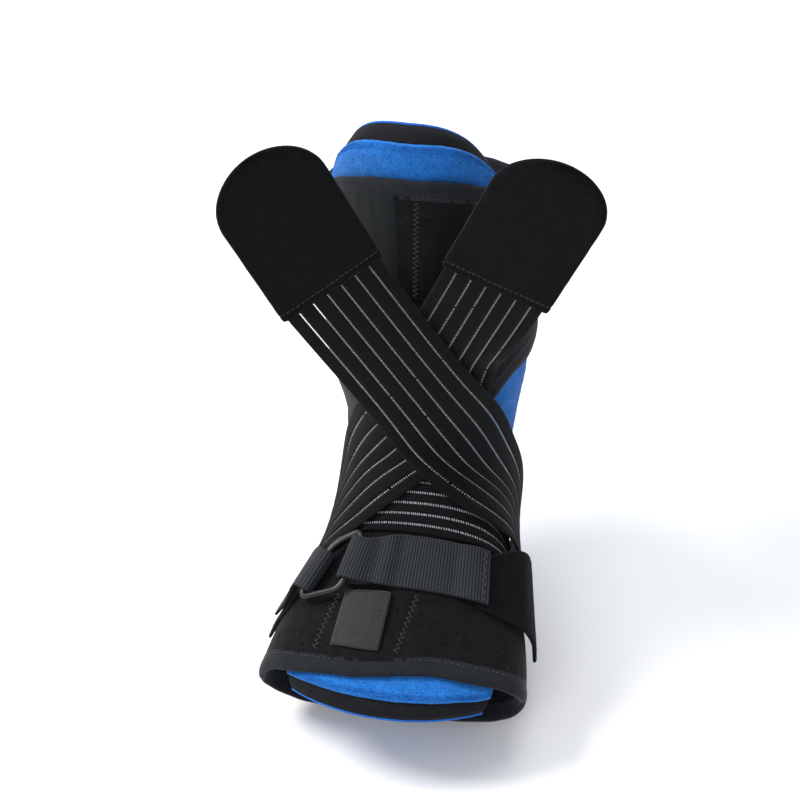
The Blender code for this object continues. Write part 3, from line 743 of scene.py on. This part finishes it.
def buildBinding(name, table, inward):
    angle = np.linspace(-180, 180, binding["count"], endpoint=False)
    start = edgeAt(table, angle)
    ripple = 1 + 0.05 * np.sin(angle * math.pi / 180 * 330 / 2.6)
    wobble = 0.25 * mm * waves(angle, 0, 31, 25)
    points = []
    for run, high in bindingOutline:
        lift = wrapAt + wrapThick * (high if high < 0.5 else 1 + (high - 1) * ripple * 1.3)
        inside = inward * (bindingWide * run + wobble * (1 - run))
        points.append(overPad(stepStations(start, angle, inside), angle, lift))
    profiles = np.stack(points, 1)
    steps = np.linalg.norm(np.diff(profiles[:, 4], axis=0, append=profiles[:1, 4]), axis=1)
    maker = Maker()
    maker.hoops(profiles, np.concatenate([[0], np.cumsum(steps)]),
                np.linspace(0, binding["tape"], len(bindingOutline) + 1))
    girth = float(steps.sum())
    stitches = int(girth / binding["stitch"])
    ends = []
    for share in (0.0, binding["fill"]):
        turn = np.linspace(-180, 180, stitches, endpoint=False) + share * 360 / stitches
        row = stepStations(edgeAt(table, turn), turn, inward * binding["from"])
        ends.append(overPad(row, turn, wrapAt + wrapThick * 1.03))
    maker.threads(ends[0], ends[1], binding["thread"], 1)
    obj = maker.make(name + "_tape", paints["binding"], paints["thread"])
    place(obj, "binding", name)


buildBinding("toe_binding", toeEdge, 1)
buildBinding("leg_lower_binding", legLowerEdge, 1)
buildBinding("leg_top_binding", legTopEdge, -1)

# elastic with open ladder stripes

ladder = {"gap": 1.2 * mm, "rungPitch": 1.15 * mm, "rung": 0.26 * mm, "pitch": 7.7 * mm, "first": 5.9 * mm,
          "bands": 4, "step": 1.3 * mm, "crown": 0.10 * mm, "lost": 0.015}


def ladderStrip(maker, patch, centres):
    # centres are the stripes' places across, 0 to 1
    half = ladder["gap"] / 2 / patch.width
    cuts = [0.0, *(c + side * half for c in centres for side in (-1, 1)), 1.0]
    along = np.linspace(0, 1, max(20, int(patch.length / ladder["step"])))[:, None]
    for low, high in zip(cuts[::2], cuts[1::2]):
        across = np.linspace(low, high, ladder["bands"] + 1)[None]
        crown = ladder["crown"] * np.sin(np.linspace(0, math.pi, ladder["bands"] + 1))[None]
        maker.slab(patch.at(along, across, 0.0), patch.at(along, across, elasticThick + crown),
                   flatPlaces(patch, along, across), bulge=0.3)
    count = int(patch.length / ladder["rungPitch"])
    dice = np.random.default_rng(41)
    for c in centres:
        at = (np.arange(count) + 0.5 + dice.uniform(-0.12, 0.12, count)) / count
        at = at[dice.uniform(0, 1, count) > ladder["lost"]]
        starts, ends = (patch.at(at, c + side * half * 1.15, elasticThick * 0.62) for side in (-1, 1))
        maker.threads(starts, ends, ladder["rung"], 1, sides=4)


armWidth, tabWidth, tabLength, lap = 50 * mm, 54 * mm, 85 * mm, 9 * mm
freeRows = (0.15, 0.35, 0.60, 0.80)
arms = {
    "rear_arm": {"onForm": ((3.75, -145), (3.85, -120), (3.98, -98), (4.15, -78), (4.42, -57), (4.92, -37),
                            (5.95, -19), (7.20, -4), (8.15, 9), (8.60, 16)),
                 "seam": ((0.293, -0.316, 0.639), (0.90, 0.00, -0.43), (0.86, 0.16, -0.47), 0.0),
                 "lift": rearArmAt, "ease": 30},
    "front_arm": {"onForm": ((3.95, 147), (4.15, 127), (4.40, 108), (4.65, 90), (4.85, 71), (5.05, 53),
                             (5.45, 37), (6.10, 26), (6.95, 18)),
                  "seam": ((-0.380, -0.434, 0.669), (0.71, 0.49, 0.44), (0.87, 0.12, 0.475), 0.08),
                  "lift": frontArmAt, "ease": 60},
}


def marchAcross(path, offsets, lift):
    rows = np.array(path, float)
    knots = np.arange(len(rows))
    at = np.arange(2 * len(rows) - 1) / 2
    station, angle = curve(knots, rows[:, 0], at), curve(knots, rows[:, 1], at)
    middle = overPad(station, angle, lift)
    ahead = unit(np.gradient(middle, axis=0))
    right = unit(np.cross(ahead, unit(overPad(station, angle, lift + mm) - middle)))
    columns = []
    for offset in offsets:
        s, a, heading = station.copy(), angle.copy(), right
        steps = max(1, math.ceil(abs(offset) / (2 * mm)))
        for _ in range(steps):
            along = (overPad(s + 0.02, a, lift) - overPad(s - 0.02, a, lift)) / 0.04
            around = (overPad(s, a + 1, lift) - overPad(s, a - 1, lift)) / 2
            face = unit(np.cross(along, around))
            heading = unit(heading - np.sum(heading * face, -1)[:, None] * face)
            rise, side = np.sum(along * heading, -1), np.sum(around * heading, -1)
            aa, bb, ab = (np.sum(p * q, -1) for p, q in ((along, along), (around, around), (along, around)))
            length = offset / steps / (aa * bb - ab**2)
            s, a = s + length * (rise * bb - side * ab), a + length * (side * aa - rise * ab)
        columns.append((s, a))
    return np.array(columns).transpose(2, 0, 1)


def squareTo(vector, direction):
    vector = np.array(vector, float)
    return unit(vector - direction * (vector @ direction))


def armPatch(arm):
    offsets = np.linspace(-0.5, 0.5, 13) * armWidth
    spots = marchAcross(arm["onForm"], offsets, wrapAt)
    start = overPad(*np.array(arm["onForm"][-1], float), arm["lift"])
    seam = arm["seam"]
    middle = np.array(seam[0]) * (formWidth, footReach, legRise)
    ahead = unit(middle - start)
    acrossSeam, acrossStart = squareTo(seam[1], ahead), squareTo(seam[2], ahead)
    ease = np.clip(np.interp(np.arange(220), (70, 90, 150, 175), (0, 1, 1, 0)), 0, 1)
    rows = list(overPad(spots[..., 0], spots[..., 1], arm["lift"]))
    bend = rows[-1] - start
    for share in freeRows + (1, 1 + lap / np.linalg.norm(middle - start)):
        flat = min(share, 1)
        across = unit(acrossStart * (1 - flat) + acrossSeam * flat)
        level = np.outer(offsets, across)
        rows.append(start + (middle - start) * share + level + (bend - level) * (1 - flat)**3)
    grid = smoothRows(rows, 220)
    for _ in range(arm["ease"]):
        grid[1:-1] += (grid[:-2] + grid[2:] - 2 * grid[1:-1]) * 0.45 * ease[1:-1, None, None]
    tabAhead = unit(ahead + acrossSeam * seam[3])
    patch = Patch(grid)
    if patch.out[-1, 6] @ np.cross(acrossSeam, ahead) < 0:
        patch.out = -patch.out
    return patch, middle, tabAhead, squareTo(acrossSeam, tabAhead)


tab = {"pile": 15000, "fibre": 0.7 * mm, "fibreWide": 0.15 * mm, "rimPile": 1500, "rimFibre": 0.8 * mm,
       "rimWide": 0.13 * mm, "seam": 3.4 * mm, "pressed": 0.9 * mm, "edgePitch": 3.0 * mm}


def buildTab(name, middle, ahead, across):
    radius = tabWidth / 2
    straight = tabLength - radius
    runs = np.concatenate([np.linspace(0, straight, 40)[:-1],
                           straight + radius * np.sin(np.radians(np.linspace(0, 88.5, 34)))])
    half = radius * np.sqrt(1 - (np.clip(runs - straight, 0, None) / radius)**2)
    sides = np.sin(np.linspace(-1, 1, 45) * math.pi / 2)
    out = np.cross(across, ahead)
    wide, far = np.broadcast_arrays(half[:, None] * sides, runs[:, None])
    base = middle + far[..., None] * ahead + wide[..., None] * across
    # a little limp: it sags to its sides
    bow = 0.5 * mm * waves(wide, far, 51, 60 * mm) - 0.8 * mm * (wide / radius)**2
    bow = bow * np.clip(far / (12 * mm), 0, 1)
    low = base + out * (elasticThick + loose + np.maximum(bow, -0.5 * mm) * 0.7)[..., None]
    rim = np.minimum(half[:, None] * (1 - np.abs(sides)), tabLength - far)
    thick = tabThick - 0.9 * mm * np.exp(-rim / (1.1 * mm)) + 0.12 * mm * waves(wide, far, 52, 9 * mm)
    thick = thick - tab["pressed"] * np.exp(-((far - tab["seam"]) / (0.8 * mm))**2)
    high = low + out * thick[..., None]
    maker = Maker()
    maker.slab(low, high, np.stack([wide, far], -1), bulge=0.4)
    patch = Patch(high, high - low)
    dice = np.random.default_rng(61)
    a, b = (dice.uniform(0, 1, tab["pile"]) for _ in range(2))
    maker.pile(patch.at(a, b), patch.outAt(a, b), tab["fibre"], tab["fibreWide"], 62, lean=0.9)
    left, a = (dice.uniform(0, 1, tab["rimPile"]) for _ in range(2))
    left = left < 0.5
    maker.pile(patch.at(a, np.where(left, 0.002, 0.998), -1.0 * mm), across * np.where(left, -1, 1)[:, None],
               tab["rimFibre"], tab["rimWide"], 63, lean=0.5)
    seamAt = tab["seam"] / tabLength * 0.86
    stitchLine(maker, patch, ((seamAt, 0.03), (seamAt, 0.97)), 2.6 * mm, 0.22 * mm, 0.05 * mm)
    for side in (0.0, 1.0):
        stitchLine(maker, patch, ((0.0, side), (0.53, side)), tab["edgePitch"], 0.09 * mm, -0.2 * mm,
                   kind=2, fill=0.97)
    stitchLine(maker, patch, ((0.0, 0.0), (0.0, 1.0)), tab["edgePitch"], 0.10 * mm, -0.5 * mm,
               kind=2, fill=0.9)
    obj = maker.make(name + "_pile", paints["loop"], paints["thread"], paints["edge"])
    return place(obj, "loop_tab", name)


for name, arm in arms.items():
    patch, middle, tabAhead, tabAcross = armPatch(arm)
    maker = Maker()
    ladderStrip(maker, patch, [(ladder["first"] + i * ladder["pitch"]) / armWidth for i in range(6)])
    elastic = place(maker.make(name + "_elastic", paints["elastic"], paints["rung"]), "elastic", name)
    loopTab = buildTab(name + "_tab", middle, tabAhead, tabAcross)

# instep band

band = {"stripes": (0.13, 0.31, 0.49, 0.67, 0.85), "columns": 300, "rows": 25,
        "sole": (3.68, 4.10), "growth": (0.09, 0.75)}         # stations under the sole, and more in front


def buildBand():
    angle = np.linspace(-180, 180, band["columns"], endpoint=False)
    front = 0.5 + 0.5 * np.cos(np.radians(angle))
    low, high = (at + more * front for at, more in zip(band["sole"], band["growth"]))
    station = low + (high - low) * np.linspace(0, 1, band["rows"])[:, None]
    angle = np.broadcast_to(angle, station.shape)
    grid = overPad(station, angle, bandAt)
    grid = np.concatenate([grid, grid[:, :1]], 1).transpose(1, 0, 2)      # rows run round the foot
    patch = Patch(grid)
    outward = overPad(station, angle, bandAt + mm).transpose(1, 0, 2) - grid[:-1]
    if np.sum(patch.out[:-1] * outward) < 0:
        patch.out = -patch.out
    maker = Maker()
    ladderStrip(maker, patch, band["stripes"])
    obj = maker.make("instep_band_elastic", paints["elastic"], paints["rung"])
    place(obj, "elastic", "instep_band")
    patchArea(patch)


buildBand()

# webbing over the midfoot, its folds round the ring, the ring and the strips

innerBar, outerBar = ((2.79, -29.0), (3.53, -27.5)), ((2.62, -48.0), (3.26, -42.0))
ringBar, ringCorner = 3.4 * mm, 5.4 * mm
barAt = bandAt + webThick + loose * 2 + ringBar / 2
shares = np.linspace(0, 1, 4)


def strapRows(table):
    rows = []
    for angle, low, lowLift, high, highLift in table:
        ends = overPad((low, high), angle, np.array((lowLift, highLift)))
        rows.append([ends[0] + (ends[1] - ends[0]) * share for share in shares])
    return rows


def levelRows(table, lift):
    return strapRows([(angle, low, lift, high, lift) for angle, low, high in table])


def ringPlane():
    spots = np.vstack([overPad(*np.array(line, float).T, barAt) for line in (innerBar, outerBar)])
    out = unit(np.cross(spots[3] - spots[0], spots[2] - spots[1]))
    spots = spots - np.outer((spots - spots.mean(0)) @ out, out)
    return spots.reshape(2, 2, 3), out


def barFrame(line):
    ends = ringPlane()[0][(innerBar, outerBar).index(line)]
    station, angle = np.mean(line, axis=0)
    along = unit(ends[1] - ends[0])
    out = squareTo(overPad(station, angle, barAt + mm) - overPad(station, angle, barAt), along)
    return ends, out, np.cross(along, out)


def foldedRows(line, turn):
    ends, out, around = barFrame(line)
    reach = ringBar / 2 + loose + webThick / 2
    rows = []
    bends = tuple((math.cos(t), math.sin(t)) for t in np.radians((-90, -45, 0, 45, 90)))
    for away, up in ((-1.6, -1),) + bends + ((-1.2, 0.8),):
        rows.append([ends[0] + (ends[1] - ends[0]) * share + reach * (around * turn * away + out * up)
                     for share in shares])
    return rows


webbing = {"cord": 1.5 * mm, "pick": 1.2 * mm, "relief": 0.34 * mm, "step": 0.36 * mm}


def stripPatch(rows, columns):
    # middle face through the rows, laid out finely
    rows = np.asarray(rows, float)
    knots = lengthsAlong(rows.mean(1))
    fine = rowsAt(rows, knots, np.linspace(0, knots[-1], int(knots[-1] / webbing["step"])))
    across = np.linspace(0, fine.shape[1] - 1, columns)
    c0 = np.clip(across.astype(int), 0, fine.shape[1] - 2)
    t = (across - c0)[None, :, None]
    fine = fine[:, c0] * (1 - t) + fine[:, c0 + 1] * t
    steps = unit(np.gradient((fine[:, 0] + fine[:, -1]) / 2, axis=0))
    out = unit(np.cross(steps, unit(fine[:, -1] - fine[:, 0])))
    patch = Patch(fine)
    patch.out = np.broadcast_to(out[:, None], fine.shape).copy()
    return patch, knots[-1]


def buildStrap(name, rows, thick, columns, paint, slot, extra):
    # extra adds what is sewn on, and returns what stands on the strip as its own piece, or nothing
    patch, length = stripPatch(rows, columns)
    width, woven = patch.width, paint == "webbing"
    a, b = np.linspace(0, 1, patch.rows)[:, None], np.linspace(0, 1, patch.columns)[None]
    along, across = a * length, b * width
    bumps = 0
    if woven:
        cord = np.abs(np.sin(along / webbing["cord"] * math.pi))
        turnOver = np.where(np.floor(along / webbing["cord"]) % 2 == 0, 0, math.pi / 2)
        pick = np.abs(np.sin(across / webbing["pick"] * math.pi + turnOver))
        bumps = webbing["relief"] * (cord**0.7 * (0.55 + 0.45 * pick) - 0.5)
    selvage = np.exp(-np.minimum(across, width - across) / (0.7 * mm))
    lift = thick / 2 + bumps - 0.25 * mm * selvage
    maker = Maker()
    maker.slab(patch.at(a, b, -thick / 2), patch.at(a, b, lift),
               flatPlaces(patch, a, b) * (1, length / patch.length))
    standing = extra(maker, patch, length)
    obj = place(maker.make(name + "_strip", paints[paint], paints["thread"]), slot, name)
    onIt = [place(standing.make(name + "_pile", paints[paint]), slot)] if standing else []
    width * length


low, doubled = bandAt + webThick / 2, bandAt + webThick * 1.5 + loose
lapped = bandAt + tailThick + loose + webThick / 2
strapPath = levelRows(((-17.5, 2.79, 3.58),), low) + foldedRows(innerBar, -1)
strapPath += levelRows(((-16.5, 2.79, 3.59), (-11, 2.78, 3.64)), doubled)
strapPath += levelRows([(angle, 2.79, 3.68) for angle in range(-5, 26, 6)], low)
strapPath += levelRows(((30, 2.77, 3.68),), low + tailThick * 0.9)
strapPath += levelRows(((34.5, 2.76, 3.68), (41, 2.75, 3.68)), lapped)


def strapSeam(maker, patch, length):
    at = 1 - 3.2 * mm / length
    line = ((at, 0.04), (at, 0.96))
    stitchLine(maker, patch, line, 1.9 * mm, 0.24 * mm, webThick / 2 + 0.25 * mm, 1.0 * mm)


def tabSeam(maker, patch, length):
    stitchLine(maker, patch, ((0.93, 0.08), (0.93, 0.92)), 2.2 * mm, 0.2 * mm, webThick / 2 + 0.2 * mm)


def softPile(maker, patch, length):
    dice = np.random.default_rng(71)
    a, b = (dice.uniform(0, 1, 9000) for _ in range(2))
    standing = Maker()
    standing.pile(patch.at(a, b, tailThick / 2), patch.outAt(a, b), 0.55 * mm, 0.14 * mm, 72, lean=0.9)
    return standing


hook = {"pitch": (1.35 * mm, 1.2 * mm), "root": 0.5 * mm, "high": 0.95 * mm, "reach": 0.5 * mm,
        "dip": 0.18 * mm, "thick": 0.14 * mm}


def hooks(maker, patch, length):
    # rows of small bent hooks
    rows, columns = (int(size / pitch) for size, pitch in zip((length, patch.width), hook["pitch"]))
    a, b = ((np.arange(n) + 0.5) / n for n in (rows, columns))
    a, b = np.meshgrid(a, b, indexing="ij")
    dice = np.random.default_rng(81)
    a, b = (grid.ravel() + dice.normal(0, 0.004, grid.size) for grid in (a, b))
    root, out = patch.at(a, b, hook["root"]), patch.outAt(a, b)
    side = unit(np.cross(out, dice.normal(0, 1, root.shape)))
    top = root + out * hook["high"]
    standing = Maker()
    standing.threads(root, top, hook["thick"], sides=4)
    standing.threads(top, top + side * hook["reach"] - out * hook["dip"], hook["thick"], sides=4)
    return standing


buildStrap("webbing_strap", strapPath, webThick, 76, "webbing", "webbing", strapSeam)
tabRows = levelRows(((-78, 2.20, 2.90), (-70, 2.31, 3.00), (-62, 2.43, 3.10)), low)
tabRows = list(smoothRows(tabRows))
tabRows += foldedRows(outerBar, 1) + levelRows(((-61, 2.44, 3.12), (-66, 2.37, 3.05)), doubled)
buildStrap("ring_tab", tabRows, webThick, 60, "webbing", "webbing", tabSeam)

tailPath = ((36.5, 2.70, 0, 3.62, 0), (43, 2.68, 0, 3.66, 0.08), (52, 2.64, 0.4, 3.82, 0.6),
            (61, 2.62, 1.3, 3.96, 1), (75, 2.60, 1.3, 4.10, 1.04), (92, 2.58, 1.3, 4.18, 1.04))
tailLow, tailHigh = bandAt + tailThick / 2, tailAt + tailThick
tailRows = strapRows([(angle, lowAt, tailLow + rise * tailThick, highAt, tailLow + (tailHigh - tailLow) * share)
                      for angle, lowAt, rise, highAt, share in tailPath])
buildStrap("strap_tail", smoothRows(tailRows), tailThick, 60, "loop", "loop_strip", softPile)
hookRows = ((-28, 1.78, 2.66), (-21, 1.76, 2.67), (-14, 1.74, 2.68), (-6, 1.74, 2.68))
hookRows = levelRows(hookRows, bandAt + hookThick / 2)
buildStrap("hook_strip", hookRows, hookThick, 50, "hook", "hook_patch", hooks)

ring = {"flatten": 0.92, "sides": 20, "bend": 9, "straight": 8}


def buildRing():
    bars, out = ringPlane()
    corners = []
    for ends in (bars[0], bars[1][::-1]):
        reach = unit(ends[1] - ends[0]) * ringCorner
        corners += [ends[0] - reach, ends[1] + reach]
    corners = np.array(corners)
    path = []
    for before, here, after in zip(np.roll(corners, 1, 0), corners, np.roll(corners, -1, 0)):
        sides = [unit(other - here) for other in (before, after)]
        half = math.acos(sides[0] @ sides[1]) / 2
        centre = here + unit(sides[0] + sides[1]) * ringCorner / math.cos(half)
        start, end = (here + side * ringCorner - centre for side in sides)
        turn = math.pi - 2 * half
        path += [centre + (start * math.sin(turn - t) + end * math.sin(t)) / math.sin(turn)
                 for t in np.linspace(0, turn, ring["bend"])]
        nearEnd, farEnd = here + sides[1] * ringCorner, after - sides[1] * ringCorner
        path += [nearEnd + (farEnd - nearEnd) * t for t in np.linspace(0, 1, ring["straight"])[1:-1]]
    path = np.array(path)
    profiles = []
    for before, here, after in zip(np.roll(path, 1, 0), path, np.roll(path, -1, 0)):
        ahead = unit(unit(here - before) + unit(after - here))
        side = np.cross(ahead, out) / (ahead @ unit(after - here))
        profiles.append([here + ringBar / 2 * (side * math.cos(t) + out * ring["flatten"] * math.sin(t))
                         for t in np.linspace(0, 2 * math.pi, ring["sides"], endpoint=False)])
    maker = Maker()
    maker.hoops(np.array(profiles), np.linspace(0, 110 * mm, len(profiles) + 1),
                np.linspace(0, 11 * mm, ring["sides"] + 1))
    place(maker.make("ring_loop", paints["plastic"]), "ring_plastic", "ring")


buildRing()

# floor, light and camera

floorAt, floorHalf = -0.0925, 4
floor = bpy.data.objects.new("floor", bpy.data.meshes.new("floor"))
floorCorners = [(x * floorHalf, y * floorHalf, floorAt) for x, y in ((-1, -1), (1, -1), (1, 1), (-1, 1))]
floor.data.from_pydata(floorCorners, [], [(0, 1, 2, 3)])
floor.data.materials.append(floorPaint())
bpy.context.scene.collection.objects.link(floor)

lamps = {"key": ((-0.95, -0.15, 1.05), 0.55, 20.0, (1.0, 0.99, 0.97)),
         "front": ((-0.2, -1.3, 0.75), 0.9, 6.0, (0.97, 0.98, 1.0)),
         "top": ((0.05, 0.35, 1.3), 0.9, 9.0, (0.96, 0.98, 1.0))}
for name, (spot, size, power, tint) in lamps.items():
    light = bpy.data.lights.new(name, "AREA")
    light.shape, light.size, light.energy, light.color = "DISK", size, power, tint
    lamp = bpy.data.objects.new(name, light)
    lamp.location = spot
    lamp.rotation_euler = (Vector((0, -0.03, 0.05)) - Vector(spot)).to_track_quat("-Z", "Y").to_euler()
    bpy.context.scene.collection.objects.link(lamp)

world = bpy.data.worlds.new("studio")
world.use_nodes = True
world.node_tree.nodes["Background"].inputs[0].default_value = (0.95, 0.97, 1.0, 1)
world.node_tree.nodes["Background"].inputs[1].default_value = 0.62
bpy.context.scene.world = world
bpy.context.scene.view_settings.view_transform = "Standard"

cameraData = bpy.data.cameras.new("camera")
cameraData.lens, cameraData.sensor_width = 103.5, 36
camera = bpy.data.objects.new("camera", cameraData)
azimuth, elevation, distance = math.radians(10), math.radians(40), 1.15
aim = Vector((-0.0168, -0.0396, 0.0439))
look = Vector((-math.sin(azimuth) * math.cos(elevation), math.cos(azimuth) * math.cos(elevation),
               -math.sin(elevation)))
camera.location = aim - look * distance
camera.rotation_euler = look.to_track_quat("-Z", "Y").to_euler()
cameraData.clip_start, cameraData.clip_end = 0.01, 20
bpy.context.scene.collection.objects.link(camera)
bpy.context.scene.camera = camera
